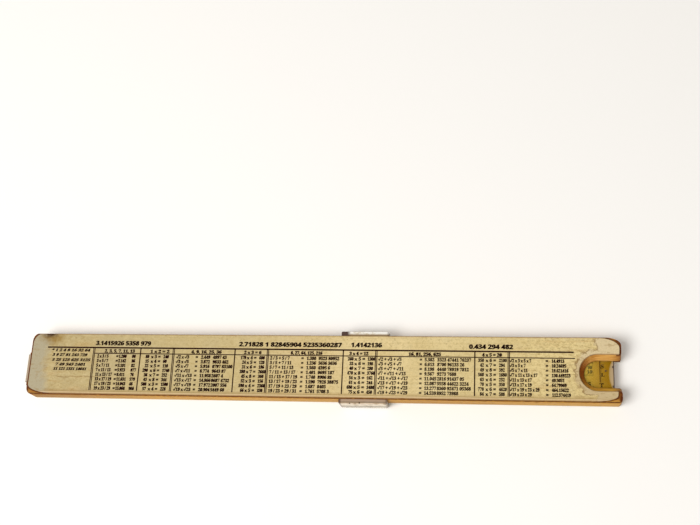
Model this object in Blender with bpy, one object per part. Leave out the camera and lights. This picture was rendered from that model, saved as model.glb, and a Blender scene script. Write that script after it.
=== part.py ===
"""A ten-inch wooden slide rule with white facings, a back index window and a glass cursor.

The rule lies on its front, so its back faces +Z, its right end is +X and the upper edge of its
front is -Y. Every piece is drawn about the middle of the stock's back face and hangs from one
empty, which puts the origin under the middle of the whole rule. Lengths are in metres.
"""

import math

import bmesh
import bpy
import numpy as np
from mathutils import Matrix

# Stock
stock_length = 0.2985
stock_width = 0.032
stock_thickness = 0.0095
stock_edge_round = 0.0003

# The stock's corners are rubbed round, each as far along X and along Y as here
corner_right_far = (0.008, 0.0038)
corner_left_far = (0.0032, 0.004)
corner_left_near = (0.0028, 0.0035)
corner_right_near = (0.0018, 0.0018)

# Facings, cemented to the wood
facing_thickness = 0.0005
glue_line = 0.0001

# The back facing is rubbed away more than the wood: its long edges, its ends, its corners
edge_wear = 0.00035
end_wear_left = 0.0009
end_wear_right_far = 0.0009
end_wear_right_near = 0.0021
wear_right_far = (0.011, 0.005)
wear_left_far = (0.0045, 0.005)
wear_left_near = (0.015, 0.0045)
wear_right_near = (0.012, 0.003)

# Groove for the slide, and the slots that hold its tongues
groove_width = 0.015
groove_off_centre = 0.0015
back_wall = 0.005
slot_depth = 0.0014
slot_clearance = 0.0002
slide_clearance = 0.0002
tongue_height = 0.0015

# Slide
slide_rest_shift = 0.0032

# Grooves in the long edges, in which the cursor runs
runner_lip = 0.0005
runner_width = 0.0012
runner_depth = 0.0015

# Index notch in the back, at the right end, and the window that closes its floor
notch_ledge = 0.0009
notch_reach = 0.0176
notch_bevel_run = 0.00265
notch_mouth_radius = 0.0013
window_thickness = 0.0008
window_lap = 0.003
window_setback = 0.004
window_hollow = 0.0019
window_clearance = 0.0002

# Cursor
cursor_length = 0.024
cursor_rest = 0.025
cursor_clearance = 0.0003
rail_stand = 0.0024
rail_clearance = 0.00025
rail_edge_round = 0.0005
rail_corner_radius = 0.0009
lip_clearance = 0.0002
glass_thickness = 0.0015
glass_inset = 0.0001
glass_bevel = 0.00045
glass_bevel_depth = 0.0005

# Cursor screws
screw_inset = 0.003
screw_radius = 0.00045
screw_wall = 0.0003
screw_head_radius = 0.0007
screw_head_depth = 0.0005
screw_length = 0.0055
screw_clearance = 0.0001
screw_sink = 0.00005
screw_slot_width = 0.00025
screw_slot_depth = 0.0002

# Cursor spring and the pocket that holds it
spring_thickness = 0.0002
spring_width = 0.003
spring_gap = 0.0001
pocket_depth = 0.0007
pocket_clearance = 0.0005
pocket_wall = 0.0008

# Modelling values: a cut runs this far past what it cuts, edges duller than the angle are shaded
# smooth, and the rest are facets in arcs
overrun = 0.001
smooth_angle = math.radians(35)
corner_steps = 8
round_steps = 3
notch_steps = 24
spring_steps = 24
screw_steps = 16

# Levels measured from the back face, downwards negative
half_length = stock_length / 2
half_width = stock_width / 2
wood_back = -(facing_thickness + glue_line)
wood_front = -(stock_thickness - facing_thickness - glue_line)
groove_floor = -back_wall
groove_near = -groove_off_centre - groove_width / 2
groove_far = -groove_off_centre + groove_width / 2
rebate_top = groove_floor + window_thickness + glue_line
runner_top = wood_back - runner_lip
runner_bottom = runner_top - runner_width
slide_back = groove_floor - slide_clearance
slide_front = -stock_thickness
slide_half_width = groove_width / 2 - slide_clearance
core_back = slide_back - facing_thickness - glue_line
core_front = slide_front + facing_thickness + glue_line
core_middle = (core_back + core_front) / 2
rail_top = runner_top - lip_clearance
rail_front = -(stock_thickness + cursor_clearance)
glass_inner = rail_front - glue_line
glass_outer = glass_inner - glass_thickness
rail_inner_y = half_width + rail_clearance
rail_outer_y = half_width + rail_stand
screw_y = rail_inner_y + screw_wall + screw_clearance + screw_radius
screw_x = cursor_length / 2 - screw_inset
screw_face = glass_outer + screw_sink
screw_neck = screw_face + screw_head_depth
screw_tip = screw_face + screw_length
pocket_half_length = screw_x - screw_radius - screw_clearance - pocket_wall
spring_half_length = pocket_half_length - pocket_clearance
spring_level = (runner_bottom + lip_clearance + rail_front) / 2


def clear_scene():
    """Removes whatever the scene holds."""
    for thing in list(bpy.data.objects):
        bpy.data.objects.remove(thing, do_unlink=True)


def material(name, colour, roughness, metallic, transmission=0.0):
    """A Principled material with one colour."""
    made = bpy.data.materials.new(name)
    made.use_nodes = True
    shader = made.node_tree.nodes["Principled BSDF"]
    shader.inputs["Base Color"].default_value = (*colour, 1.0)
    shader.inputs["Roughness"].default_value = roughness
    shader.inputs["Metallic"].default_value = metallic
    shader.inputs["Transmission Weight"].default_value = transmission
    return made


def empty(name, location, parent=None):
    """An empty that carries pieces at a place."""
    made = bpy.data.objects.new(name, None)
    bpy.context.scene.collection.objects.link(made)
    made.location = location
    made.parent = parent
    return made


def piece(name, mesh, finish, parent):
    """One sub-part, made from a bmesh, hanging from its empty."""
    bmesh.ops.recalc_face_normals(mesh, faces=mesh.faces)
    data = bpy.data.meshes.new(name)
    mesh.to_mesh(data)
    mesh.free()
    data.shade_smooth()
    data.set_sharp_from_angle(angle=smooth_angle)
    data.materials.append(finish)
    made = bpy.data.objects.new(name, data)
    bpy.context.scene.collection.objects.link(made)
    made.parent = parent
    return made


def cutter(name, mesh, parent):
    """A guide solid that shapes a piece and isn't one itself."""
    made = piece(name, mesh, bpy.data.materials["cutting"], parent)
    made.hide_render = True
    made.display_type = "WIRE"
    return made


def shape_by(target, tool, operation):
    """Cuts the target with the tool, or keeps what the two share."""
    step = target.modifiers.new(tool.name, "BOOLEAN")
    step.object = tool
    step.operation = operation
    step.solver = "EXACT"


def arc(centre, radii, start, end, steps):
    """Points on an elliptic arc, both ends included. Angles are in quarter turns."""
    angles = np.linspace(start, end, steps + 1) * math.pi / 2
    return [
        (centre[0] + radii[0] * math.cos(a), centre[1] + radii[1] * math.sin(a))
        for a in angles
    ]


def rounded(places, corners):
    """A four-sided outline with elliptic corners: right far, left far, left near, right near."""
    inwards = [(-1, -1), (1, -1), (1, 1), (-1, 1)]
    points = []
    for turn, (place, way, radii) in enumerate(zip(places, inwards, corners)):
        if radii[0] > 0 and radii[1] > 0:
            centre = (place[0] + way[0] * radii[0], place[1] + way[1] * radii[1])
            points += arc(centre, radii, turn, turn + 1, corner_steps)
        else:
            points.append(place)
    return points


def plan_outline(x_low, x_high, y_low, y_high, corners):
    """A rectangle with elliptic corners."""
    places = [(x_high, y_high), (x_low, y_high), (x_low, y_low), (x_high, y_low)]
    return rounded(places, corners)


def prism(outline, low, high):
    """The outline's face, extruded from one level to another along Z."""
    mesh = bmesh.new()
    face = mesh.faces.new([mesh.verts.new((x, y, low)) for x, y in outline])
    grown = bmesh.ops.extrude_face_region(mesh, geom=[face])["geom"]
    top = [v for v in grown if isinstance(v, bmesh.types.BMVert)]
    bmesh.ops.translate(mesh, verts=top, vec=(0, 0, high - low))
    return mesh


def bar(profile, low, high):
    """A profile in Y and Z, extruded along X."""
    mesh = prism(profile, low, high)
    turn = Matrix(((0, 0, 1), (1, 0, 0), (0, 1, 0)))
    bmesh.ops.transform(mesh, matrix=turn.to_4x4(), verts=mesh.verts)
    return mesh


def box(x_low, x_high, y_low, y_high, z_low, z_high):
    """A plain block between two corners."""
    corners = [(x_low, y_low), (x_high, y_low), (x_high, y_high), (x_low, y_high)]
    return prism(corners, z_low, z_high)


def skin(levels):
    """A solid through like outlines at rising levels, each joined to the next, ends closed."""
    mesh = bmesh.new()
    rings = []
    for outline, level in levels:
        verts = [mesh.verts.new((x, y, level)) for x, y in outline]
        rings.append(
            [
                mesh.edges.new((a, b))
                for a, b in zip(verts, verts[1:] + verts[:1])
            ]
        )
    for low, high in zip(rings, rings[1:]):
        bmesh.ops.bridge_loops(mesh, edges=low + high)
    for ring in (rings[0], rings[-1]):
        bmesh.ops.contextual_create(mesh, geom=ring)
    return mesh


def turned(profile, centre):
    """A profile of radius and height, spun about an upright axis."""
    mesh = bmesh.new()
    verts = [mesh.verts.new((r, 0, z)) for r, z in profile]
    edges = [mesh.edges.new(pair) for pair in zip(verts, verts[1:])]
    bmesh.ops.spin(
        mesh,
        geom=verts + edges,
        cent=(0, 0, 0),
        axis=(0, 0, 1),
        angle=2 * math.pi,
        steps=screw_steps,
        use_merge=True,
    )
    bmesh.ops.remove_doubles(mesh, verts=mesh.verts, dist=glue_line / 10)
    bmesh.ops.translate(mesh, verts=mesh.verts, vec=(*centre, 0))
    return mesh


def stock_profile():
    """The stock's cross-section: the slide's groove and slots in front, a runner in each edge."""
    r = stock_edge_round
    far_edge = [
        *arc((half_width - r, wood_back - r), (r, r), 1, 0, round_steps),
        (half_width, runner_top),
        (half_width - runner_depth, runner_top),
        (half_width - runner_depth, runner_bottom),
        (half_width, runner_bottom),
        *arc((half_width - r, wood_front + r), (r, r), 0, -1, round_steps),
    ]
    slot_back = core_middle + tongue_height / 2 + slot_clearance
    slot_front = core_middle - tongue_height / 2 - slot_clearance
    groove = [
        (groove_far, wood_front),
        (groove_far, slot_front),
        (groove_far + slot_depth, slot_front),
        (groove_far + slot_depth, slot_back),
        (groove_far, slot_back),
        (groove_far, groove_floor),
        (groove_near, groove_floor),
        (groove_near, slot_back),
        (groove_near - slot_depth, slot_back),
        (groove_near - slot_depth, slot_front),
        (groove_near, slot_front),
        (groove_near, wood_front),
    ]
    near_edge = [(-y, z) for y, z in reversed(far_edge)]
    return far_edge + groove + near_edge


def notch_outline(level):
    """The notch's U at a level: its walls lean outwards from its floor to the back face."""
    floor_half = groove_width / 2 - notch_ledge
    half = floor_half + notch_bevel_run * (level - rebate_top) / -rebate_top
    centre = (half_length - notch_reach + floor_half, -groove_off_centre)
    r = notch_mouth_radius
    far_mouth = arc((half_length - r, centre[1] + half + r), (r, r), 0, -1, round_steps)
    near_mouth = arc((half_length - r, centre[1] - half - r), (r, r), 1, 0, round_steps)
    end = half_length + overrun
    return [
        (end, far_mouth[0][1]),
        *far_mouth,
        *arc(centre, (half, half), 1, 3, notch_steps),
        *near_mouth,
        (end, near_mouth[-1][1]),
    ]


def notch_cutter(parent):
    """The space of the notch, from below its floor to above the back face."""
    levels = [rebate_top - overrun, rebate_top, 0, overrun]
    solid = skin([(notch_outline(z), z) for z in levels])
    return cutter("notch_space", solid, parent)


def make_stock(wood, notch, parent):
    """The wooden stock: one long moulding, its corners rounded, with the notch and its rebate."""
    stock = piece("stock", bar(stock_profile(), -half_length, half_length), wood, parent)
    corners = [corner_right_far, corner_left_far, corner_left_near, corner_right_near]
    outline = plan_outline(-half_length, half_length, -half_width, half_width, corners)
    blank = cutter("stock_blank", prism(outline, -stock_thickness, overrun), parent)
    window_end = half_length - notch_reach - window_lap - window_clearance
    rebate = cutter(
        "window_rebate",
        box(
            window_end,
            half_length + overrun,
            groove_near,
            groove_far,
            groove_floor - overrun,
            rebate_top,
        ),
        parent,
    )
    shape_by(stock, blank, "INTERSECT")
    shape_by(stock, rebate, "DIFFERENCE")
    shape_by(stock, notch, "DIFFERENCE")


def make_stock_facings(facing, notch, parent):
    """The three facings of the stock: one over its whole back and a strip on each side in front."""
    left = -half_length + end_wear_left
    edge = half_width - edge_wear
    places = [
        (half_length - end_wear_right_far, edge),
        (left, edge),
        (left, -edge),
        (half_length - end_wear_right_near, -edge),
    ]
    outline = rounded(places, [wear_right_far, wear_left_far, wear_left_near, wear_right_near])
    back = piece("back_facing", prism(outline, -facing_thickness, 0), facing, parent)
    shape_by(back, notch, "DIFFERENCE")
    square = (0, 0)
    near_corners = [square, square, corner_left_near, corner_right_near]
    far_corners = [corner_right_far, corner_left_far, square, square]
    strips = {
        "upper_front_facing": (-half_width, groove_near, near_corners),
        "lower_front_facing": (groove_far, half_width, far_corners),
    }
    for name, (y_low, y_high, corners) in strips.items():
        outline = plan_outline(-half_length, half_length, y_low, y_high, corners)
        solid = prism(outline, -stock_thickness, -stock_thickness + facing_thickness)
        piece(name, solid, facing, parent)


def make_window(celluloid, parent):
    """The index window, let into the groove's floor, with a hollowed right edge."""
    left = half_length - notch_reach - window_lap
    right = half_length - window_setback
    half = groove_width / 2 - window_clearance
    radius = (half**2 + window_hollow**2) / (2 * window_hollow)
    reach = math.asin(half / radius) / (math.pi / 2)
    centre = (right - window_hollow + radius, -groove_off_centre)
    hollow = arc(centre, (radius, radius), 2 + reach, 2 - reach, corner_steps)
    outline = [(left, hollow[-1][1]), (left, hollow[0][1]), *hollow]
    top = groove_floor + window_thickness
    piece("index_window", prism(outline, groove_floor, top), celluloid, parent)


def make_slide(wood, facing, parent):
    """The slide: a wooden core with a tongue along each side, faced on both faces."""
    tongue = groove_width / 2 + slot_depth - slide_clearance
    back = core_middle + tongue_height / 2
    front = core_middle - tongue_height / 2
    far_side = [
        (slide_half_width, core_back),
        (slide_half_width, back),
        (tongue, back),
        (tongue, front),
        (slide_half_width, front),
        (slide_half_width, core_front),
    ]
    profile = far_side + [(-y, z) for y, z in reversed(far_side)]
    solids = {
        "slide_core": (bar(profile, -half_length, half_length), wood),
        "slide_front_facing": (slide_sheet(slide_front), facing),
        "slide_back_facing": (slide_sheet(slide_back - facing_thickness), facing),
    }
    for name, (solid, finish) in solids.items():
        piece(name, solid, finish, parent)


def slide_sheet(low):
    """A facing of the slide, from its lower face up."""
    return box(
        -half_length,
        half_length,
        -slide_half_width,
        slide_half_width,
        low,
        low + facing_thickness,
    )


def rail_profile():
    """A rail's cross-section at the far edge: a drawn bar with a lip that runs in the stock."""
    r = rail_edge_round
    lip_y = half_width - runner_depth + rail_clearance
    lip_bottom = runner_bottom + lip_clearance
    return [
        (lip_y, lip_bottom),
        (lip_y, rail_top),
        *arc((rail_outer_y - r, rail_top - r), (r, r), 1, 0, round_steps),
        *arc((rail_outer_y - r, rail_front + r), (r, r), 0, -1, round_steps),
        (rail_inner_y, rail_front),
        (rail_inner_y, lip_bottom),
    ]


def make_rails(metal, parent):
    """The two rails. The one at the upper edge has a pocket for the spring."""
    radius = (rail_corner_radius, rail_corner_radius)
    half = cursor_length / 2
    outline = plan_outline(-half, half, -rail_outer_y, rail_outer_y, [radius] * 4)
    blank = cutter("rail_blank", prism(outline, rail_front - overrun, 0), parent)
    rails = {}
    for side, name in ((1, "lower_rail"), (-1, "upper_rail")):
        profile = [(side * y, z) for y, z in rail_profile()]
        rails[name] = piece(name, bar(profile, -half, half), metal, parent)
        shape_by(rails[name], blank, "INTERSECT")
    height = spring_width / 2 + pocket_clearance
    pocket = box(
        -pocket_half_length,
        pocket_half_length,
        -rail_inner_y - pocket_depth,
        -rail_inner_y + overrun,
        spring_level - height,
        spring_level + height,
    )
    shape_by(rails["upper_rail"], cutter("spring_pocket", pocket, parent), "DIFFERENCE")
    return rails


def make_spring(steel, parent):
    """The bow spring: its ends lie in the upper rail's pocket, its middle bears on the stock."""
    outer = rail_inner_y + pocket_depth - spring_gap
    rise = outer - spring_thickness - half_width - spring_gap
    x = np.linspace(-spring_half_length, spring_half_length, spring_steps + 1)
    bow = rise * (1 + np.cos(math.pi * x / spring_half_length)) / 2
    back = [(a, b) for a, b in zip(x, -outer + bow)]
    front = [(a, b + spring_thickness) for a, b in reversed(back)]
    low = spring_level - spring_width / 2
    solid = prism(back + front, low, low + spring_width)
    piece("cursor_spring", solid, steel, parent)


def make_glass(glass, parent):
    """The cursor's glass, bevelled all round its outer face, with a sunk hole for each screw."""
    half_x = cursor_length / 2
    half_y = rail_outer_y - glass_inset
    bevel_level = glass_outer + glass_bevel_depth

    def outline(inset):
        radius = rail_corner_radius - inset
        corners = [(radius, radius)] * 4
        return plan_outline(
            -half_x + inset, half_x - inset, -half_y + inset, half_y - inset, corners
        )

    solid = skin(
        [
            (outline(glass_bevel), glass_outer),
            (outline(0), bevel_level),
            (outline(0), glass_inner),
        ]
    )
    return piece("cursor_glass", solid, glass, parent)


def screw_solid(place):
    """A countersunk screw, head down, before its slot is cut."""
    return turned(
        [
            (0, screw_face),
            (screw_head_radius, screw_face),
            (screw_radius, screw_neck),
            (screw_radius, screw_tip),
            (0, screw_tip),
        ],
        place,
    )


def screw_space(place):
    """The countersunk hole for a screw, a clearance larger than the screw all round."""
    head = screw_head_radius + screw_clearance
    shank = screw_radius + screw_clearance
    seat = screw_face + screw_clearance
    return turned(
        [
            (0, glass_outer - overrun),
            (head, glass_outer - overrun),
            (head, seat),
            (shank, screw_neck + screw_clearance),
            (shank, screw_tip + screw_clearance),
            (0, screw_tip + screw_clearance),
        ],
        place,
    )


def make_screws(steel, glass, rails, parent):
    """The four screws that hold the glass to the rails, each with its hole and its slot."""
    for rail, y in (("lower", screw_y), ("upper", -screw_y)):
        for end, x in (("left", -screw_x), ("right", screw_x)):
            name = f"screw_{rail}_{end}"
            hole = cutter(f"{name}_hole", screw_space((x, y)), parent)
            shape_by(glass, hole, "DIFFERENCE")
            shape_by(rails[f"{rail}_rail"], hole, "DIFFERENCE")
            slot = box(
                x - screw_slot_width / 2,
                x + screw_slot_width / 2,
                y - screw_head_radius - overrun,
                y + screw_head_radius + overrun,
                screw_face - overrun,
                screw_face + screw_slot_depth,
            )
            screw = piece(name, screw_solid((x, y)), steel, parent)
            shape_by(screw, cutter(f"{name}_slot", slot, parent), "DIFFERENCE")


def build():
    """Puts the rule together."""
    clear_scene()
    mahogany = material("mahogany", (0.42, 0.19, 0.06), 0.45, 0.0)
    facing = material("white_facing", (0.66, 0.55, 0.34), 0.4, 0.0)
    celluloid = material("clear_celluloid", (0.72, 0.53, 0.12), 0.15, 0.0, 0.7)
    glass = material("plate_glass", (0.95, 0.97, 0.96), 0.02, 0.0, 1.0)
    silver = material("nickel_silver", (0.62, 0.57, 0.5), 0.3, 1.0)
    steel = material("steel", (0.5, 0.5, 0.5), 0.35, 1.0)
    material("cutting", (1.0, 0.0, 0.0), 0.5, 0.0)

    middle = empty("rule_middle", (slide_rest_shift / 2, 0, -glass_outer))
    slide_middle = empty("slide_middle", (-slide_rest_shift, -groove_off_centre, 0), middle)
    cursor_middle = empty("cursor_middle", (cursor_rest, 0, 0), middle)

    notch = notch_cutter(middle)
    make_stock(mahogany, notch, middle)
    make_stock_facings(facing, notch, middle)
    make_window(celluloid, middle)
    make_slide(mahogany, facing, slide_middle)
    rails = make_rails(silver, cursor_middle)
    make_spring(steel, cursor_middle)
    window = make_glass(glass, cursor_middle)
    make_screws(steel, window, rails, cursor_middle)


build()
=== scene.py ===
"""A ten-inch wooden slide rule that lies on its front: its finishes, its print and its scales."""

import math

import bmesh
import bpy
import numpy as np
from mathutils import Matrix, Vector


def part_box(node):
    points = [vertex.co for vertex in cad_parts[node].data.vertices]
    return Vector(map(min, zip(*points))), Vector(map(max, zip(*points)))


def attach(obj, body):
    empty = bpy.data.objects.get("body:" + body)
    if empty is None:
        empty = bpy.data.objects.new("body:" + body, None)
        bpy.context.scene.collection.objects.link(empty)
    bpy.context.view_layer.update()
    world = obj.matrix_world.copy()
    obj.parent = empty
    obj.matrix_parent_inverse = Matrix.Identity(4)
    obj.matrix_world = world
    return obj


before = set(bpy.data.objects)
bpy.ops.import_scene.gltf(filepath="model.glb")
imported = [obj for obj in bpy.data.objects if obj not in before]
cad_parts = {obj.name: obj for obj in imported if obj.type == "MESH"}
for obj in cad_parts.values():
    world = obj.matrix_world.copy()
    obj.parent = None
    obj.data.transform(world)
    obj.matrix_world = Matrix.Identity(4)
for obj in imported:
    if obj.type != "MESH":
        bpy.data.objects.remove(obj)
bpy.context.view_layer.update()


# The stock is one length of mahogany, planed and grooved, sanded and given a thin orange varnish.
# It gives the eye a tan orange with darker fibres along its length, short dark pores, darker ends
# where the grain is cut across, and a brown line of old glue and dirt beside each facing.

mm = 0.001
stock_low, stock_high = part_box("stock")
middle_x = (stock_low.x + stock_high.x) / 2
half_length = (stock_high.x - stock_low.x) / 2
half_width = (stock_high.y - stock_low.y) / 2
back_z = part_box("back_facing")[1].z


def linear(colour):
    """A six-digit sRGB hex colour as linear light. Each channel c over 0.04045 becomes
    ((c + 0.055) / 1.055) to the power 2.4, and a darker one c / 12.92."""
    levels = np.array([int(colour[i : i + 2], 16) for i in (0, 2, 4)]) / 255
    light = np.where(levels > 0.04045, ((levels + 0.055) / 1.055) ** 2.4, levels / 12.92)
    return (*light.tolist(), 1.0)


def wire(tree, node, inputs):
    """Gives a node its inputs by name or number, each a value or a link."""
    for name, value in inputs.items():
        if isinstance(value, bpy.types.NodeSocket):
            tree.links.new(value, node.inputs[name])
        else:
            node.inputs[name].default_value = value


def add(tree, kind, inputs=None, output=0, **options):
    """One node with its options and its inputs, of which one output is given back."""
    made = tree.nodes.new("ShaderNode" + kind)
    for name, value in options.items():
        setattr(made, name, value)
    wire(tree, made, inputs or {})
    return made.outputs[output]


def coat(tree, colour, tone, measure, least=0.0, most=1.0, share=1.0, within=None):
    """A colour under a coat of another tone: none of the tone shows where the measure is at its
    least, and the share of it where it is at its most. The coat is thinned by what it lies within,
    if anything. The colour and the tone may be hex values."""
    under, over = (linear(c) if isinstance(c, str) else c for c in (colour, tone))
    limits = {"Value": measure, "From Min": least, "From Max": most, "To Max": share}
    cover = add(tree, "MapRange", limits)
    if within is not None:
        cover = add(tree, "Math", {0: cover, 1: within}, operation="MULTIPLY")
    return add(tree, "Mix", {0: cover, 6: under, 7: over}, 2, data_type="RGBA")


def drawn_out(tree, place, per_metre, detail, roughness=0.5, turn=0.0):
    """Noise stretched along a piece: so many of its cells go to a metre along each axis."""
    settings = {"Vector": place, "Rotation": (0, 0, turn), "Scale": per_metre}
    stretch = add(tree, "Mapping", settings)
    settings = {"Vector": stretch, "Scale": 1.0, "Detail": detail, "Roughness": roughness}
    return add(tree, "TexNoise", settings)


def aside(tree, place, line):
    """How far a place lies from a line, to either side."""
    off = add(tree, "Math", {0: place, 1: line}, operation="SUBTRACT")
    return add(tree, "Math", {0: off}, operation="ABSOLUTE")


def depth_in(tree, place, middle, half):
    """How far inside its edges a place lies: half the width less how far it is from the middle."""
    return add(tree, "Math", {0: half, 1: aside(tree, place, middle)}, operation="SUBTRACT")


def new_finish(name):
    """A material, its nodes, its Principled shader and the place on the piece that it reads."""
    made = bpy.data.materials.new(name)
    made.use_nodes = True
    tree = made.node_tree
    return made, tree, tree.nodes["Principled BSDF"], add(tree, "TexCoord", output=3)


def dress(material, *names):
    """Gives CAD pieces a finish."""
    for name in names:
        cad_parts[name].material_slots[0].material = material


# Fibres are 25 mm long and 0.8 mm wide, bands 6 mm wide, and pores 3 mm by 0.25 mm, which is
# coarser than in the real wood, so that they show.
wood, tree, shader, place = new_finish("varnished_mahogany")
fibre = drawn_out(tree, place, (40, 1250, 1250), 5.0, 0.65)
band = drawn_out(tree, place, (12, 170, 170), 3.0)
pore = drawn_out(tree, place, (330, 4000, 4000), 1.0)
pore = add(tree, "MapRange", {"Value": pore, "From Min": 0.6, "From Max": 0.68})
colour = coat(tree, "C48A34", "E8B456", fibre, 0.3, 0.7)
colour = coat(tree, colour, "B47622", band, 0.45, 0.7, 0.5)
colour = coat(tree, colour, "6E3C12", pore, share=0.55)

# The wood is darker towards the left end. Inside the notch the side walls are painted lighter and
# golden by which way they face, as painted light, with redder streaks along them, and they darken
# towards the arms' ends.
along, across, height = add(tree, "SeparateXYZ", {0: place}).node.outputs
facing_way = add(tree, "SeparateXYZ", {0: add(tree, "TexCoord", output=1)}).node.outputs
from_edge = depth_in(tree, across, 0.0, half_width)
from_end = depth_in(tree, along, middle_x, half_length)
colour = coat(tree, colour, "7A4A18", along, middle_x - 80 * mm, middle_x - 142 * mm, 0.58)
inner = add(tree, "Math", {0: from_edge, 1: 1 * mm}, operation="GREATER_THAN")
# Walls that face across the rule are painted a lighter gold: painted light, not the wood's own tone.
for way, painted_light_tone, share in ((1, "FFCA52", 0.8), (-1, "F0B868", 0.6)):
    colour = coat(tree, colour, painted_light_tone, facing_way[1], 0.15 * way, 0.4 * way, share, inner)
side_streak = drawn_out(tree, place, (150, 1500, 1500), 3.0)
colour = coat(tree, colour, "B4661C", side_streak, 0.46, 0.62, 0.6, inner)
right_half = add(tree, "Math", {0: along, 1: middle_x}, operation="GREATER_THAN")
arms = add(tree, "Math", {0: inner, 1: right_half}, operation="MULTIPLY")
colour = coat(tree, colour, "8A4A12", from_end, 4.5 * mm, 0.5 * mm, 0.7, arms)

# Where the grain is cut across, on the ends and round the notch, the wood drinks more stain.
across_grain = add(tree, "Math", {0: facing_way[0]}, operation="ABSOLUTE")
limits = {"Value": across_grain, "From Min": 0.35, "From Max": 0.85, "To Max": 0.85}
across_grain = add(tree, "MapRange", limits)
dots = add(tree, "TexNoise", {"Vector": place, "Scale": 2600.0, "Detail": 3.0})
end_grain = coat(tree, "742000", "AA4C00", dots, 0.35, 0.65)
outer_grain = coat(tree, "7A461C", "B47A3C", dots, 0.35, 0.65)
end_grain = coat(tree, end_grain, outer_grain, from_end, 6 * mm, 4.5 * mm)
colour = coat(tree, colour, end_grain, across_grain)

# Dirt lies along the back's edges and beside the facing's worn corners, which are quarter ellipses,
# and the notch's walls are painted darker at their foot, a painted shade.
limits = {"Value": height, "From Min": back_z - 1.5 * mm, "From Max": back_z - 0.9 * mm}
on_top = add(tree, "MapRange", limits)
limits = {"Value": from_edge, "From Min": 0.9 * mm, "From Max": 0.45 * mm, "To Max": 0.6}
edge_dirt = add(tree, "MapRange", limits)
end_share = add(tree, "Math", {0: right_half, 1: 0.65, 2: 0.3}, operation="MULTIPLY_ADD")
limits = {"Value": from_end, "From Min": 2.0 * mm, "From Max": 0.9 * mm, "To Max": end_share}
end_dirt = add(tree, "MapRange", limits)
dirt_and_painted_shade = add(tree, "Math", {0: edge_dirt, 1: end_dirt}, operation="MAXIMUM")
sheet_low, sheet_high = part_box("back_facing")
for end, end_x, side_y, long, wide, soiled_to in (
    (-1, sheet_low.x, sheet_low.y, 15 * mm, 4.5 * mm, 1.13),
    (1, sheet_high.x - 1.2 * mm, sheet_low.y, 12 * mm, 3 * mm, 1.16),
    (-1, sheet_low.x, sheet_high.y, 4.5 * mm, 5 * mm, 1.4),
    (1, sheet_high.x, sheet_high.y, 11 * mm, 5 * mm, 1.22),
):
    side = math.copysign(1, side_y)
    away = []
    for measure, way, corner, radius in ((along, end, end_x, long), (across, side, side_y, wide)):
        centre = corner - way * radius
        off = add(tree, "Math", {0: measure, 1: centre}, operation="SUBTRACT")
        off = add(tree, "Math", {0: off, 1: way / radius}, operation="MULTIPLY")
        away.append(add(tree, "Math", {0: off, 1: 0.0}, operation="MAXIMUM"))
    away = add(tree, "CombineXYZ", {0: away[0], 1: away[1]})
    away = add(tree, "VectorMath", {0: away}, 1, operation="LENGTH")
    limits = {"Value": away, "From Min": soiled_to, "From Max": (1 + soiled_to) / 2, "To Max": 0.9}
    beside = add(tree, "MapRange", limits)
    outside = add(tree, "Math", {0: away, 1: 0.97}, operation="GREATER_THAN")
    beside = add(tree, "Math", {0: beside, 1: outside}, operation="MULTIPLY")
    dirt_and_painted_shade = add(tree, "Math", {0: dirt_and_painted_shade, 1: beside}, operation="MAXIMUM")
rim_dirt = add(tree, "Math", {0: across_grain, 1: 0.7}, operation="MULTIPLY")
dirt_and_painted_shade = add(tree, "Math", {0: dirt_and_painted_shade, 1: rim_dirt}, operation="MAXIMUM")
dirt_and_painted_shade = add(tree, "Math", {0: dirt_and_painted_shade, 1: on_top}, operation="MULTIPLY")
# The notch's walls darken towards the window at their foot: painted shade where wall meets floor.
limits = {"Value": height, "From Min": back_z - 3.5 * mm, "From Max": back_z - 4.0 * mm, "To Max": 0.6}
painted_floor_shade = add(tree, "Math", {0: add(tree, "MapRange", limits), 1: inner}, operation="MULTIPLY")
dirt_and_painted_shade = add(tree, "Math", {0: dirt_and_painted_shade, 1: painted_floor_shade}, operation="MAXIMUM")
patchy = add(tree, "TexNoise", {"Vector": place, "Scale": 380.0, "Detail": 4.0})
patchy = add(tree, "MapRange", {"Value": patchy, "From Min": 0.3, "From Max": 0.5, "To Min": 0.6})
dirt_and_painted_shade = add(tree, "Math", {0: dirt_and_painted_shade, 1: patchy}, operation="MULTIPLY")
colour = coat(tree, colour, "521E00", dirt_and_painted_shade)
rough = add(tree, "MapRange", {"Value": fibre, "To Min": 0.4, "To Max": 0.6})
relief = add(tree, "Math", {0: fibre, 1: pore}, operation="SUBTRACT")
bump = add(tree, "Bump", {"Strength": 0.35, "Distance": 0.05 * mm, "Height": relief})
wire(tree, shader, {"Base Color": colour, "Roughness": rough, "Normal": bump})
wire(tree, shader, {"IOR": 1.5, "Specular IOR Level": 0.12})
dress(wood, "stock", "slide_core")


# The back facing is a white celluloid sheet of half a millimetre, glued to the wood. Its varnish
# has yellowed, in brush streaks and blotches. It fades out short of the left end and stops short
# of the notch in a ragged brown edge, and the bare sheet outside it is greyer.

notch_x = middle_x + 138.25 * mm
notch_y = -1.5 * mm

varnished, tree, shader, place = new_finish("yellowed_varnished_celluloid")
along, across = add(tree, "SeparateXYZ", {0: place}).node.outputs[:2]

# Blotches are 16 mm, 4 mm and 1.6 mm wide, streaks 60 mm by 1 mm, and the sheet's grain 0.6 mm.
blotch = add(tree, "TexNoise", {"Vector": place, "Scale": 62.0, "Detail": 4.0, "Roughness": 0.55})
mottle = add(tree, "TexNoise", {"Vector": place, "Scale": 250.0, "Detail": 4.0, "Roughness": 0.6})
streak = drawn_out(tree, place, (16, 950, 1), 4.0, 0.6)
grain = add(tree, "TexNoise", {"Vector": place, "Scale": 1500.0, "Detail": 3.0})
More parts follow.
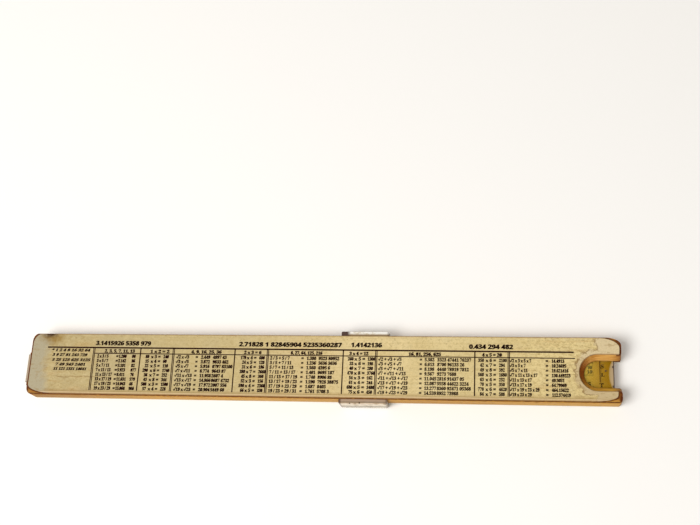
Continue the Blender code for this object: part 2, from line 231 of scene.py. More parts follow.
# The sheet's tone runs from darker at the left end to lighter towards the right.
colour = "BBA87A"
for start, stop, tone in (
    (-130, -38, "CBB683"),
    (-38, -8, "DAC089"),
    (-8, 34, "EDD59D"),
    (40, 82, "E1CA8F"),
    (86, 106, "ECD496"),
):
    colour = coat(tree, colour, tone, along, middle_x + start * mm, middle_x + stop * mm)
colour = coat(tree, colour, "CCB272", blotch, 0.4, 0.7, 0.5)
colour = coat(tree, colour, "DCC896", mottle, 0.45, 0.75, 0.5)
colour = coat(tree, colour, "B89A58", streak, 0.5, 0.8, 0.45)
fine = add(tree, "TexNoise", {"Vector": place, "Scale": 620.0, "Detail": 3.0, "Roughness": 0.65})
colour = coat(tree, colour, "AA9058", fine, 0.5, 0.68, 0.4)

# Handling has mottled both ends with brown, in spots and short strokes, and the near edge is darker.
limits = {"Value": along, "From Min": middle_x - 104 * mm, "From Max": middle_x - 122 * mm}
worn_end = add(tree, "MapRange", limits)
limits = {"Value": along, "From Min": middle_x + 88 * mm, "From Max": middle_x + 112 * mm}
worn_end = add(tree, "Math", {0: worn_end, 1: add(tree, "MapRange", limits)}, operation="MAXIMUM")
stroke = drawn_out(tree, place, (520, 1000, 1), 4.0, 0.7, turn=0.5)
colour = coat(tree, colour, "A5874C", stroke, 0.5, 0.66, 0.65, worn_end)
stroke = drawn_out(tree, place, (55, 700, 1), 3.0)
colour = coat(tree, colour, "BC8C4C", stroke, 0.54, 0.7, 0.3, worn_end)
colour = coat(tree, colour, "966E3C", across, -12.7 * mm, -14.1 * mm, 0.36)

# How far inside the varnish a point lies, from the left end, the notch and the arms beside it.
# The boundary wanders by up to 2 mm either way.
wander = add(tree, "TexNoise", {"Vector": place, "Scale": 330.0, "Detail": 3.0, "Roughness": 0.6})
limits = {"Value": wander, "From Min": 0.2, "From Max": 0.8, "To Min": -2 * mm, "To Max": 2 * mm}
wander = add(tree, "MapRange", limits)
from_left = add(tree, "Math", {0: across, 1: across}, operation="MULTIPLY")
from_left = {0: from_left, 1: -14.0, 2: 140.9 * mm - middle_x}
from_left = add(tree, "Math", from_left, operation="MULTIPLY_ADD")
from_left = add(tree, "Math", {0: along, 1: from_left}, operation="ADD")
beside_x = add(tree, "Math", {0: along, 1: notch_x}, operation="SUBTRACT")
beside_x = add(tree, "Math", {0: beside_x, 1: 0.0}, operation="MINIMUM")
beside_y = add(tree, "Math", {0: across, 1: notch_y}, operation="SUBTRACT")
beside = add(tree, "CombineXYZ", {0: beside_x, 1: beside_y})
from_notch = add(tree, "VectorMath", {0: beside}, 1, operation="LENGTH")
from_notch = add(tree, "Math", {0: from_notch, 1: 11.5 * mm}, operation="SUBTRACT")
from_arm = add(tree, "Math", {0: middle_x + 137.2 * mm, 1: along}, operation="SUBTRACT")
from_right = add(tree, "Math", {0: from_notch, 1: from_arm}, operation="MINIMUM")
from_right = add(tree, "Math", {0: from_right, 1: wander}, operation="ADD")
from_left = add(tree, "Math", {0: from_left, 1: wander}, operation="ADD")
inside = add(tree, "Math", {0: from_right, 1: from_left}, operation="MINIMUM")
limits = {"Value": from_left, "From Min": 2.6 * mm, "From Max": -2.2 * mm, "To Max": 0.95}
bare = add(tree, "MapRange", limits)
limits = {"Value": from_right, "From Min": 0.7 * mm, "From Max": -0.5 * mm, "To Max": 0.9}
bare = add(tree, "Math", {0: bare, 1: add(tree, "MapRange", limits)}, operation="MAXIMUM")
bare_tone = coat(tree, "CCB487", "E0CA9E", across, -2 * mm, 8 * mm)
bare_tone = coat(tree, "B0A486", bare_tone, along, middle_x - 130 * mm, middle_x + 60 * mm)
colour = coat(tree, colour, bare_tone, bare)

# Dirt caught at the varnish's edge comes and goes, and brown smudges lie within 7 mm of it.
edge_line = add(tree, "Math", {0: from_right}, operation="ABSOLUTE")
broken = add(tree, "MapRange", {"Value": mottle, "From Min": 0.4, "From Max": 0.52})
colour = coat(tree, colour, "8E6C38", edge_line, 0.6 * mm, 0.1 * mm, 0.85, broken)
smudge = drawn_out(tree, place, (320, 620, 1), 3.0)
near_edge = add(tree, "MapRange", {"Value": inside, "From Min": 7 * mm, "From Max": 1.5 * mm})
colour = coat(tree, colour, "98743C", smudge, 0.54, 0.7, 0.5, near_edge)
speck = add(tree, "TexNoise", {"Vector": place, "Scale": 900.0, "Detail": 2.0})
colour = coat(tree, colour, "957440", speck, 0.66, 0.74, 0.45)

# A line is rubbed pale along the near edge, a thin brown one of dirt runs inside it, and both long
# edges are brown.
from_edge = depth_in(tree, across, 0.0, half_width)
rim = aside(tree, across, -14.85 * mm)
colour = coat(tree, colour, "E2C498", rim, 0.45 * mm, 0.15 * mm, 0.6)
colour = coat(tree, colour, "8A5820", from_edge, 0.9 * mm, 0.38 * mm, 0.6)
bend = add(tree, "Math", {0: blotch, 1: 1.6 * mm, 2: -15.2 * mm}, operation="MULTIPLY_ADD")
dirt_line = aside(tree, across, bend)
colour = coat(tree, colour, "A88A50", dirt_line, 0.28 * mm, 0.08 * mm, 0.55)
chip = add(tree, "Math", {0: wander, 1: 0.2, 2: 0.35 * mm}, operation="MULTIPLY_ADD")
chip = add(tree, "Math", {0: chip, 1: from_edge}, operation="SUBTRACT")
colour = coat(tree, colour, "925C22", chip, -0.1 * mm, 0.15 * mm, 0.8)

# A burnt stain at the upper left corner has a yellow halo, and one crack runs from the left end.
for stain_x, stain_y, width, height, tone, share, reach in (
    (-138.4, 13.6, 9.4, 5.4, "8E6A1C", 0.85, 0.75),
    (-139.6, 15.9, 6.2, 3.4, "3A1E00", 0.97, 0.6),
):
    centre = (-(middle_x / mm + stain_x) / width, -stain_y / height, 0)
    scale = (1 / (width * mm), 1 / (height * mm), 0)
    stain = add(tree, "Mapping", {"Vector": place, "Location": centre, "Scale": scale})
    stain = add(tree, "VectorMath", {0: stain}, 1, operation="LENGTH")
    stain = add(tree, "Math", {0: mottle, 1: -1.4, 2: stain}, operation="MULTIPLY_ADD")
    colour = coat(tree, colour, tone, stain, 0.15, 0.15 - reach, share)
bend = add(tree, "Math", {0: mottle, 1: 2.4 * mm, 2: -8.1 * mm}, operation="MULTIPLY_ADD")
crack = aside(tree, across, bend)
limits = {"Value": along, "From Min": middle_x - 98 * mm, "From Max": middle_x - 116 * mm}
cracked = add(tree, "MapRange", limits)
limits = {"Value": along, "From Min": middle_x - 137 * mm, "From Max": middle_x - 134 * mm}
cracked = add(tree, "Math", {0: cracked, 1: add(tree, "MapRange", limits)}, operation="MULTIPLY")
colour = coat(tree, colour, "856434", crack, 0.3 * mm, 0.08 * mm, 0.6, cracked)
limits = {"Value": grain, "From Min": 0.3, "From Max": 0.7, "To Min": 0.93, "To Max": 1.05}
grain_tone = add(tree, "MapRange", limits)
grain_tone = add(tree, "CombineXYZ", {0: grain_tone, 1: grain_tone, 2: grain_tone})
colour = add(tree, "VectorMath", {0: colour, 1: grain_tone}, operation="MULTIPLY")

# The sheet's cut edges are brown with old glue and handling.
facing_up = add(tree, "SeparateXYZ", {0: add(tree, "TexCoord", output=1)}, 2)
colour = coat(tree, colour, "7E440C", facing_up, 0.8, 0.4, 0.9)
rough = add(tree, "MapRange", {"Value": mottle, "To Min": 0.42, "To Max": 0.62})
relief = add(tree, "Math", {0: streak, 1: bare}, operation="SUBTRACT")
bump = add(tree, "Bump", {"Strength": 0.25, "Distance": 0.04 * mm, "Height": relief})
wire(tree, shader, {"Base Color": colour, "Roughness": rough, "Normal": bump})
wire(tree, shader, {"IOR": 1.5, "Specular IOR Level": 0.2})
dress(varnished, "back_facing")


# The other facings are the same white celluloid, unvarnished and aged to a warm ivory. Fingers
# have greyed it in patches, and dirt has settled in fine scratches along its length. The slide's
# back, which nobody wipes, is greyer, but under the window it is painted lighter, as painted light.
# Its right end has a dark line and two dark dots.

ivory_finishes = []
for name, fresh, soiled in (
    ("aged_white_celluloid", "E0CFA8", "CDB88A"),
    ("soiled_white_celluloid", "BFA47A", "A68E66"),
):
    ivory, tree, shader, place = new_finish(name)
    patch = add(tree, "TexNoise", {"Vector": place, "Scale": 55.0, "Detail": 5.0, "Roughness": 0.6})
    scratch = drawn_out(tree, place, (25, 1800, 1), 4.0)
    speck = add(tree, "TexNoise", {"Vector": place, "Scale": 1500.0, "Detail": 2.0})
    colour = coat(tree, fresh, soiled, patch, 0.35, 0.7)
    colour = coat(tree, colour, "B49C6C", scratch, 0.58, 0.78, 0.4)
    colour = coat(tree, colour, "8E7648", speck, 0.66, 0.76, 0.35)
    rough = add(tree, "MapRange", {"Value": patch, "To Min": 0.3, "To Max": 0.5})
    bump = add(tree, "Bump", {"Strength": 0.2, "Distance": 0.03 * mm, "Height": scratch})
    wire(tree, shader, {"Base Color": colour, "Roughness": rough, "Normal": bump, "IOR": 1.5})
    ivory_finishes.append((ivory, tree, shader, place, colour))
dress(ivory_finishes[0][0], "upper_front_facing", "lower_front_facing", "slide_front_facing")

slide_low, slide_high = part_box("slide_back_facing")
slide_x = (slide_low.x + slide_high.x) / 2
slide_y = (slide_low.y + slide_high.y) / 2
soiled, tree, shader, place, colour = ivory_finishes[1]
along, across = add(tree, "SeparateXYZ", {0: place}).node.outputs[:2]
# Two dark dots stand near the slide's right end, and a dark line runs along that end.
dot_y = 4.8 * mm
dot_x = slide_high.x - 0.45 * mm
off_dot = aside(tree, across, slide_y - 0.8 * mm)
off_dot = add(tree, "Math", {0: off_dot, 1: dot_y}, operation="SUBTRACT")
ahead = add(tree, "Math", {0: along, 1: dot_x}, operation="SUBTRACT")
dark_dot = add(tree, "CombineXYZ", {0: ahead, 1: off_dot})
dark_dot = add(tree, "VectorMath", {0: dark_dot}, 1, operation="LENGTH")
dark_dot = add(tree, "MapRange", {"Value": dark_dot, "From Min": 0.75 * mm, "From Max": 0.5 * mm, "To Max": 0.95})
from_end = add(tree, "Math", {0: slide_high.x, 1: along}, operation="SUBTRACT")
limits = {"Value": from_end, "From Min": 0.65 * mm, "From Max": 0.35 * mm, "To Max": 0.95}
dark = add(tree, "Math", {0: dark_dot, 1: add(tree, "MapRange", limits)}, operation="MAXIMUM")
# Under the window the slide is painted lighter: painted light, standing in for light the notch keeps
# off.
colour = coat(tree, colour, "CFB67C", from_end, 7 * mm, 12 * mm, 0.7)
colour = coat(tree, colour, "A4917A", along, slide_low.x + 6 * mm, slide_low.x + 4 * mm, 0.9)
from_side = depth_in(tree, across, slide_y, (slide_high.y - slide_low.y) / 2)
limits = {"Value": from_side, "From Min": 0.35 * mm, "From Max": 0.15 * mm, "To Max": 0.7}
dark = add(tree, "Math", {0: dark, 1: add(tree, "MapRange", limits)}, operation="MAXIMUM")
wire(tree, shader, {"Base Color": coat(tree, colour, "341C12", dark)})
dress(soiled, "slide_back_facing")


# The back is printed with a table of plain numbers between rules, a little out of square with the
# stock. Each row gives an expression of small primes, its value in figures, and a product. The ink
# is a black that has gone brown, and it is rubbed thin here and there.

ink, tree, shader, place = new_finish("worn_black_ink")
rub = add(tree, "TexNoise", {"Vector": place, "Scale": 900.0, "Detail": 4.0, "Roughness": 0.7})
colour = coat(tree, "260A04", "54341A", rub, 0.55, 0.75, 0.5)
wire(tree, shader, {"Base Color": colour, "Roughness": 0.7, "IOR": 1.5, "Specular IOR Level": 0.08})

print_sink = 0.01 * mm
print_height = 0.01 * mm
serif = str.maketrans("0123456789", "".join(chr(0x1D7CE + i) for i in range(10)))
block = str.maketrans("0123456789", "".join(chr(0x1D7EC + i) for i in range(10)))
type_digits = {chr(code) for code in (*serif.values(), *block.values())}
digit_swell = 0.018
sign_swell = 0.03
glyphs = {}


def glyph(character):
    """A character of unit digit height as a closed flat plate, from 0 to 1 in depth: its points,
    its triangles, and how far the pen moves on. The pen's step is what a second copy adds. Digits
    and signs are swollen a little, as printer's ink spreads, and letters aren't."""
    if character in glyphs:
        return glyphs[character]
    writing = bpy.data.curves.new("writing", "FONT")
    writing.resolution_u = 1
    writing.extrude = 0.5
    pen = bpy.data.objects.new("pen", writing)
    wide = []
    for body in ("0" + character + "0", "00"):
        writing.body = body
        mesh = pen.to_mesh()
        wide.append(max(v.co.x for v in mesh.vertices))
        pen.to_mesh_clear()
    if ord(character) < 0xFFFF:
        writing.offset = sign_swell
    elif character in type_digits:
        writing.offset = digit_swell
    writing.body = character
    mesh = pen.to_mesh()
    shape = bmesh.new()
    shape.from_mesh(mesh)
    pen.to_mesh_clear()
    bmesh.ops.remove_doubles(shape, verts=shape.verts, dist=1e-4)
    bmesh.ops.triangulate(shape, faces=shape.faces)
    points = np.array([v.co for v in shape.verts]).reshape(-1, 3)
    faces = np.array([[v.index for v in f.verts] for f in shape.faces], int).reshape(-1, 3)
    shape.free()
    bpy.data.objects.remove(pen)
    bpy.data.curves.remove(writing)
    digit_height = 0.69
    points[:, :2] /= digit_height
    points[:, 2] += 0.5
    glyphs[character] = (points, faces, (wide[0] - wide[1]) / digit_height)
    return glyphs[character]


def written(text, x, y, height, width=1.0, align=0.0, lean=0.0):
    """A line of characters of one digit height: each is scaled, moved on by the pens before it and
    sheared by its lean. x is the line's left end, middle or right end as align goes 0, 0.5, 1."""
    points, faces, pen, count = [], [], 0.0, 0
    for character in text:
        shape, sides, step = glyph(character)
        points.append(shape + (pen, 0, 0))
        faces.append(sides + count)
        pen += step
        count += len(shape)
    points = np.concatenate(points)
    points[:, 0] = (points[:, 0] - align * pen) * width + lean * points[:, 1]
    points[:, :2] = points[:, :2] * height + (x, y)
    return points, np.concatenate(faces)


def fitted(text, left, right, y, height, lean=0.0):
    """A line of characters made as wide as reaches from left to right."""
    natural = sum(glyph(character)[2] for character in text)
    return written(text, left, y, height, (right - left) / (natural * height), 0.0, lean)


corner_signs = np.array([(i, j, k) for k in (0, 1) for j in (0, 1) for i in (0, 1)])
block_sides = np.array(
    [
        (0, 2, 3), (0, 3, 1), (4, 5, 7), (4, 7, 6), (0, 1, 5), (0, 5, 4),
        (2, 6, 7), (2, 7, 3), (0, 4, 6), (0, 6, 2), (1, 3, 7), (1, 7, 5),
    ]
)


def ruled(lines):
    """Straight printed lines as thin closed blocks. Each row of lines holds the lowest x and y and
    the highest x and y, and a block's corners are every choice of low or high along each axis."""
    lines = np.asarray(lines, float).reshape(-1, 4)
    low = np.c_[lines[:, :2], np.zeros(len(lines))][:, None]
    high = np.c_[lines[:, 2:], np.ones(len(lines))][:, None]
    points = (low + (high - low) * corner_signs).reshape(-1, 3)
    faces = block_sides[None] + 8 * np.arange(len(lines))[:, None, None]
    return points, faces.reshape(-1, 3)


def struck_twice(shapes, shift):
    """The same shapes printed twice, half the shift one way and half the other, which thickens
    their strokes by the shift, as a heavily inked plate does."""
    half_shift = np.array((*shift, 0)) / 2
    return [(points + way * half_shift, faces) for points, faces in shapes for way in (-1, 1)]


def printed(name, shapes, level, up, origin, body, material, slot, out_of_square=0.0):
    """Print on a face: its shapes are laid out with x to the right and y upwards, in millimetres,
    y falls by out_of_square times x, and they are lifted to the face's level. A face that looks
    down is the same, turned half round X."""
    points, faces, count = [], [], 0
    for shape, sides in shapes:
        points.append(shape)
        faces.append(sides + count)
        count += len(shape)
    points = np.concatenate(points)
    points[:, 1] -= out_of_square * points[:, 0]
    points[:, :2] *= mm
    points[:, 2] = points[:, 2] * (print_sink + print_height) - print_sink
    points *= (1, up, up)
    points += (origin[0], origin[1], level)
    mesh = bpy.data.meshes.new(name)
    mesh.from_pydata(points.tolist(), [], np.concatenate(faces).tolist())
    made = bpy.data.objects.new(name, mesh)
    bpy.context.scene.collection.objects.link(made)
    mesh.materials.append(material)
    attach(made, body)


# The table's outline, in millimetres from the middle of the back. Doubled uprights stand at the
# left of each pair of columns, and single ones inside the pairs.
table_lean = 0.001
row_middles = 3.97 - 2.38 * np.arange(8)
digit = 1.6
narrow, roomy = 0.73, 0.85
table_bottom = -13.8
top_rule = 8.42
second_rule = 5.4
rules = [
    (-140.3, top_rule - 0.4, 126.8, top_rule + 0.4),
    (-114.95, second_rule - 0.25, 127.4, second_rule + 0.25),
]
gap_side, far_side, half_rule = 0.12, 0.58, 0.31
for x in (-115.0, -72.67, -23.73, 31.07, 95.83):
    rules.append((x - far_side, table_bottom, x - gap_side, top_rule))
    rules.append((x + gap_side, table_bottom, x + far_side, top_rule))
for x in (-90.15, -40.69, 14.51, 79.46):
    rules.append((x - half_rule, table_bottom, x + half_rule, top_rule))


def figures(value, first, more):
    """A value cut after its first decimals, and its next decimals as a group of their own."""
    whole, decimals = f"{value:.{first + more}f}".split(".")
    return f"{whole}.{decimals[:first]}".lstrip("0"), decimals[first:]


# Each row takes four primes, the next row the four that start one further on. A column's values
# begin at one place, and they have few or many figures as the row goes. The plate took more ink
# towards its left end.
inking = ((0.22, 0.13), (0.2, 0.12), (0.18, 0.11), (0.13, 0.1), (0.17, 0.11))
primes = (2, 3, 5, 7, 11, 13, 17, 19, 23, 29, 31)
columns = (
    (-113.0, -102.3, -101.5, -94.4, -85.3, -84.2, -79.3, -77.8),
    (-71.0, -60.3, -58.1, -51.9, -34.7, -34.2, -29.4, -28.0),
    (-22.4, -5.9, -3.8, 2.2, 19.8, 20.4, 25.6, 26.8),
    (32.2, 53.2, 55.0, 61.2, 83.9, 84.8, 89.7, 91.1),
)
more_figures = (
    (2, 2, 2, 3, 2, 3, 2, 3),
    (6, 7, 9, 6, 5, 8, 7, 6),
    (9, 8, 5, 7, 6, 9, 4, 5),
    (14, 11, 13, 8, 11, 13, 14, 9),
)
cells = []
for row, middle in enumerate(row_middles):
    base = middle - digit / 2
    p, q, s, t = primes[row : row + 4]
    many = row % 3 == 0
    sums = (
        (f"{p} x {q} / {s}", p * q / s),
        (f"√{p} x √{q}", math.sqrt(p * q)),
        (f"{p} / {q} + {s} / {t}", p / q + s / t),
        (f"√{p} + √{q} + √{s}", math.sqrt(p) + math.sqrt(q) + math.sqrt(s)),
    )
    for pair, (label, value) in enumerate(sums):
        label_x, equals_x, value_x, more_x, one_x, sign_x, sign_end, two_x = columns[pair]
        first, more = figures(value, 3, more_figures[pair][row])
        more = more[:4] + " " + more[4:9] + " " + more[9:]
        one = (7 * row + 9 * pair + 8) * (10 if many else 1)
        two = 3 + (row + pair) % 6
        wide = narrow if pair == 0 else roomy
        line = (
            written(label.translate(serif), label_x, base, digit, wide),
            written("=", equals_x, base, digit, 0.9, 0.5),
            written(first.translate(serif), value_x, base, digit, wide),
            written(more.strip().translate(serif), more_x, base, digit, wide),
            written(str(one).translate(serif), one_x, base, digit, narrow, 1.0),
            fitted(f"x {two} =".translate(serif), sign_x, sign_end, base, digit),
            written(str(one * two).translate(serif), two_x, base, digit, narrow),
        )
        cells += struck_twice(line, inking[pair])
    label = f"{p} x {q} x {s}" + (f" x {t}" if many else "")
    value = math.sqrt(p * q * s * (t if many else 1))
    value = f"{value:.8f}"[: 7 + row % 4]
    line = (
        written(f"√{label}".translate(serif), 96.4, base, digit, narrow),
        written("=", 114.0, base, digit, 0.9, 0.5),
        written(value.translate(serif), 116.2, base, digit, narrow),
    )
    cells += struck_twice(line, inking[-1])

# Heads, a block of notes beside the table and bold titles above it are counting runs and the
# figures of well-known constants.
lines = (
    (-109.3, -93.2, 5.9, 1.6, "2, 3, 5, 7, 11, 13", 0),
    (-85.0, -74.9, 5.9, 1.6, "1 x 2 = 2", 0),
    (-63.4, -47.6, 5.9, 1.6, "4, 9, 16, 25, 36", 0),
    (-36.0, -27.0, 5.9, 1.6, "2 x 3 = 6", 0),
    (-12.0, 4.0, 5.9, 1.6, "8, 27, 64, 125, 216", 0),
    (17.6, 27.1, 5.9, 1.6, "3 x 4 = 12", 0),
    (47.0, 63.0, 5.9, 1.6, "16, 81, 256, 625", 0),
    (83.0, 92.5, 5.9, 1.6, "4 x 5 = 20", 0),
    (-137.9, -117.3, 6.3, 1.35, "* 1 2 4 8 16 32 64", 0.25),
    (-137.3, -118.6, 3.8, 1.35, "3 9 27 81 243 729", 0.25),
    (-137.2, -116.7, 1.15, 1.35, "5 25 125 625 3125", 0.25),
    (-135.2, -119.0, -1.2, 1.35, "7 49 343 2401", 0.25),
    (-136.0, -118.2, -3.55, 1.35, "11 121 1331 14641", 0.25),
)
headings = []
for left, right, base, height, text, lean in lines:
    headings.append(fitted(text.translate(serif), left, right, base, height, lean))
titles = (
    (-114.5, -85.1, 9.75, 2.1, "3.1415926 5358 979"),
    (-38.9, 13.6, 9.85, 2.1, "2.71828 1 82845904 5235360287"),
    (18.2, 33.7, 10.0, 2.1, "1.4142136"),
    (76.6, 97.9, 9.7, 2.1, "0.434 294 482"),
)
for left, right, base, height, text in titles:
    headings.append(fitted(text.translate(block), left, right, base, height))

on_back = ((middle_x, 0), "stock", ink, "white_facing", table_lean)
printed("table_rules", [ruled(rules)], back_z, 1, *on_back)
printed("table_numbers", cells, back_z, 1, *on_back)
printed("table_heads", struck_twice(headings, (0.26, 0.1)), back_z, 1, *on_back)


# The index window is a clear celluloid plate that has gone a deep golden yellow. It is let into
# the floor of the notch, and a brown hairline is scribed across it, over the slide's back scales.

plate, tree, shader, place = new_finish("yellow_clear_celluloid")
cloud = add(tree, "TexNoise", {"Vector": place, "Scale": 260.0, "Detail": 3.0})
along = add(tree, "SeparateXYZ", {0: place})
limits = {"Value": along, "From Min": middle_x + 132 * mm, "From Max": middle_x + 143 * mm}
along_plate = add(tree, "MapRange", limits)
colour = coat(tree, "F2E47A", "B88424", along_plate)
colour = coat(tree, colour, "C79A30", cloud, 0.4, 0.7, 0.4)
fleck_spot = (middle_x + 141.95 * mm, 0.4 * mm, 0)
fleck = add(tree, "VectorMath", {0: place, 1: fleck_spot}, operation="SUBTRACT")
fleck = add(tree, "VectorMath", {0: fleck, 1: (1, 1, 0)}, operation="MULTIPLY")
fleck = add(tree, "VectorMath", {0: fleck}, 1, operation="LENGTH")
fleck = add(tree, "MapRange", {"Value": fleck, "From Min": 0.55 * mm, "From Max": 0.3 * mm})
colour = coat(tree, colour, "40280C", fleck)
ripple = add(tree, "Bump", {"Strength": 0.15, "Distance": 0.05 * mm, "Height": cloud})
wire(tree, shader, {"Base Color": colour, "Roughness": 0.25, "IOR": 1.5, "Normal": ripple})
tint = "FFFAD1"
for start, stop, tone in ((133, 138.5, "FAF3C8"), (138.5, 144.5, "F0E8A2")):
    tint = coat(tree, tint, tone, along, middle_x + start * mm, middle_x + stop * mm)
tint = coat(tree, tint, "F2E6B4", cloud, 0.5, 0.75, 0.5)
clear = add(tree, "BsdfTransparent", {"Color": tint})
limits = {"Value": along_plate, "To Min": 0.13, "To Max": 0.05}
body_share = {0: fleck, 1: 0.7, 2: add(tree, "MapRange", limits)}
body_share = add(tree, "Math", body_share, operation="MULTIPLY_ADD")
seen = add(tree, "MixShader", {0: body_share, 1: clear, 2: shader.outputs[0]})
wire(tree, tree.nodes["Material Output"], {"Surface": seen})
dress(plate, "index_window")

window_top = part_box("index_window")[1].z
hairline_x, half_line = 139.2, 0.15
hairline = ruled([(hairline_x - half_line, -8.1, hairline_x + half_line, 5.3)])
on_window = ((middle_x, 0), "stock", ink, "clear_celluloid", -0.02)
printed("window_hairline", [hairline], window_top, 1, *on_window)


# The slide carries six scales. On its back are S, L and T, printed so that their right ends come
# under the hairline when the slide is flush. Ticks stand on the slide's two edges and on one line
# between them. All are worked out from the ten-inch unit.

unit = 250.0


def ticks(values, place_of, line, way, lengths, weight=0.11):
    """Ticks as thin upright blocks on a line: each value stands where its scale puts it, and way
    turns them up or down. Their lengths are the values' own."""
    x = place_of(np.asarray(values, float))
    ends = line + way * np.asarray(lengths, float)
    low = np.minimum(line, ends)
    return ruled(np.c_[x - weight / 2, low, x + weight / 2, np.maximum(line, ends)])


def divided(stretches, short, middle, tall):
    """Every value of a scale and its tick's length. A stretch is its two ends and its fine, middle
    and coarse steps, and a value on a coarser step gets a longer tick."""
    values, lengths = [], []
    for start, stop, fine, mid, coarse in stretches:
        run = start + fine * np.arange(round((stop - start) / fine))
        on_mid = np.abs(run / mid - np.round(run / mid)) < 1e-6
        on_coarse = np.abs(run / coarse - np.round(run / coarse)) < 1e-6
        values.append(run)
        lengths.append(np.where(on_coarse, tall, np.where(on_mid, middle, short)))
    values.append(np.array([stretches[-1][1]]))
    lengths.append(np.array([tall]))
    return np.concatenate(values), np.concatenate(lengths)


edge = (slide_high.y - slide_low.y) / 2 / mm
back_end = hairline_x
back_start = back_end - unit


def sine_place(degrees):
    """A sine scale: the right end less the unit times minus the log of the sine."""
    return back_end + unit * np.log10(np.sin(np.radians(degrees)))


def tangent_place(degrees):
    """A tangent scale: the right end less the unit times minus the log of the tangent."""
    return back_end + unit * np.log10(np.tan(np.radians(degrees)))


def even_place(share):
    """An even scale of logarithms: the left end plus the unit times the value."""
    return back_start + unit * share


marks = []
sine_steps = [
    (6, 16, 0.1, 0.5, 1),
    (16, 30, 0.2, 1, 5),
    (30, 60, 0.5, 1, 5),
    (60, 80, 1, 5, 10),
    (80, 90, 5, 5, 10),
]
values, lengths = divided(sine_steps, 1.3, 1.9, 3.0)
marks.append(ticks(values, sine_place, edge, -1, lengths, 0.2))
numbers = []
for degrees in (*range(6, 16), *range(16, 30, 2), *range(30, 60, 5), 60, 70, 90):
    text = str(degrees).translate(serif)
    numbers.append(written(text, sine_place(degrees) - 0.3, edge - 4.4, 1.5, 0.9, 1.0))
values, lengths = divided([(0, 1, 0.002, 0.01, 0.05)], 0.9, 1.4, 2.6)
marks.append(ticks(values, even_place, -0.6, 1, lengths, 0.18))
for tenth in range(11):
    text = "10" if tenth == 10 else f".{tenth}" if tenth else "0"
    numbers.append(written(text.translate(serif), even_place(tenth / 10) - 0.3, 0.7, 1.6, 1.0, 1.0))
tangent_steps = [(6, 16, 0.1, 0.5, 1), (16, 30, 0.2, 1, 5), (30, 45, 0.2, 1, 5)]
values, lengths = divided(tangent_steps, 0.9, 1.3, 1.8)
marks.append(ticks(values, tangent_place, -edge, 1, lengths, 0.18))
for degrees in (*range(6, 16), *range(16, 30, 2), 30, 35, 40, 45):
    text = str(degrees).translate(serif)
    numbers.append(written(text, tangent_place(degrees) - 1.1, -edge + 1.9, 1.8, 1.0, 1.0))
capitals = {ord("A") + i: chr(0x1D400 + i) for i in range(26)}
letters = []
for text, x, y, height in (("S", 143.6, 3.3, 1.9), ("L", 143.8, -0.7, 1.6), ("T", 143.1, -6.0, 2.0)):
    letter = text.translate(capitals)
    letters.append(written(letter, x, y, height, 1.15, 0.5))
    letters.append(written(letter, x - 260, y, height, 1.15, 0.5))
on_slide = ((slide_x, slide_y), "slide", ink, "white_facing")
marks += struck_twice(letters, (0.22, 0.16)) + struck_twice(numbers, (0.18, 0.12))
printed("slide_back_scales", marks, slide_high.z, 1, *on_slide)


# On the slide's front, printed like its back, are B and C along the edges and CI between them. CI
# is in red, because it runs the other way.

red_ink, tree, shader, place = new_finish("worn_red_ink")
rub = add(tree, "TexNoise", {"Vector": place, "Scale": 900.0, "Detail": 4.0, "Roughness": 0.7})
colour = coat(tree, "8E2216", "B4704C", rub, 0.5, 0.7, 0.5)
wire(tree, shader, {"Base Color": colour, "Roughness": 0.6, "IOR": 1.5})

one_cycle = [(1, 2, 0.01, 0.05, 0.1), (2, 4, 0.02, 0.1, 0.5), (4, 10, 0.05, 0.1, 0.5)]
two_cycle = [(1, 2, 0.02, 0.1, 0.5), (2, 5, 0.05, 0.1, 0.5), (5, 10, 0.1, 0.5, 1)]
three_cycle = [(1, 3, 0.05, 0.1, 0.5), (3, 6, 0.1, 0.5, 1), (6, 10, 0.2, 1, 1)]


def log_scale(stretches, cycles, line, way, letter, number_gap, size, backwards=False):
    """A logarithmic scale over the unit: a value stands at the unit times its log over the number
    of cycles. A backwards one runs from the right. Numbers stand beyond the longest ticks."""
    shapes = []
    sign = -1 if backwards else 1
    for cycle in range(cycles):

        def log_place(value):
            return sign * unit * ((np.log10(value) + cycle) / cycles - 0.5)

        values, lengths = divided(stretches, 1.3, 1.9, 2.6)
        lengths = lengths * size
        shapes.append(ticks(values, log_place, line, way, lengths))
        base = line + way * (2.6 * size + number_gap) - (1.7 * size if way < 0 else 0)
        top = 10 if cycle == cycles - 1 else 9
        for value in range(1, top + 1):
            text = ("1" if value == 10 else str(value)).translate(serif)
            shapes.append(written(text, log_place(value), base, 1.7 * size, 0.9, 0.5))
        if cycles == 1:
            for tenth in range(1, 10):
                text = str(tenth).translate(serif)
                at = log_place(1 + tenth / 10)
                shapes.append(written(text, at, base, 1.1 * size, 0.9, 0.5))
    for end in (-1, 1):
        name = letter.translate(capitals)
        shapes.append(written(name, end * (unit / 2 + 8), base, 2.0 * size, 1.0, 0.5))
    return shapes


front_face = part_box("slide_front_facing")[0].z
on_slide_front = (front_face, -1, (slide_x, slide_y), "slide")
scales = log_scale(two_cycle, 2, edge, -1, "B", 0.3, 1.0)
scales += log_scale(one_cycle, 1, -edge, 1, "C", 0.3, 1.0)
printed("slide_front_scales", scales, *on_slide_front, ink, "white_facing")
scales = log_scale(one_cycle, 1, -1.6, 1, "CI", 0.3, 0.75, True)
printed("slide_inverse_scale", scales, *on_slide_front, red_ink, "white_facing")


# The stock's front strips are printed in black, with A above the slide and D and K below it. A and
# D stand against the slide, so that they read against B and C.

